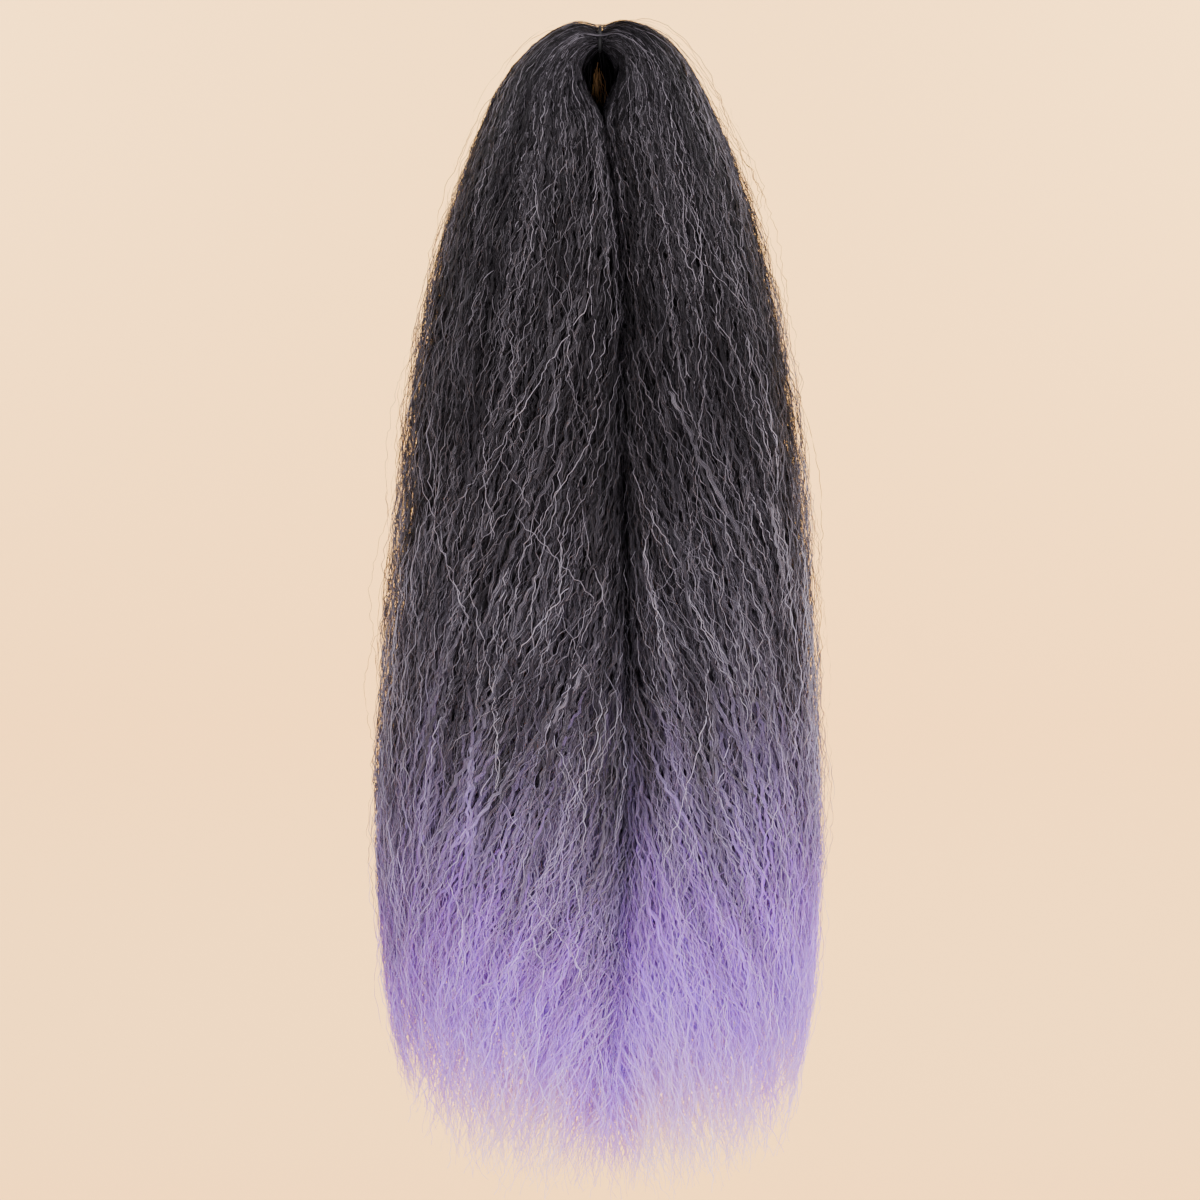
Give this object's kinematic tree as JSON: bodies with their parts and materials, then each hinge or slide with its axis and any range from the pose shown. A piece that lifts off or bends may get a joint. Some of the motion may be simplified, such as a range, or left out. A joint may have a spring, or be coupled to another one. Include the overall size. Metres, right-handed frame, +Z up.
{
  "type": "tied hank of crimped braiding hair",
  "caption": "Hank of crimped synthetic fibre folded in half and pinched by a tie, its two halves hanging from the fold and fading from charcoal to lilac at feathered tips.",
  "frame": {"origin": "underside of the tie at the top of the eye, where a hook bears, at mid depth", "axes": "+Z up along the hanging hank, +X towards the right fall as the picture shows it, -Y towards the viewer"},
  "size_m": [0.2303, 0.0997, 0.6065],
  "materials": {
    "braiding_fibre": "crimped synthetic fibre with a soft sheen, charcoal fading to lilac over the last third",
    "tie_elastic": "thin black elastic cord, matt"
  },
  "bodies": {
    "root": {"left_fall": "braiding_fibre", "right_fall": "braiding_fibre", "tie": "tie_elastic"}
  },
  "joints": []
}
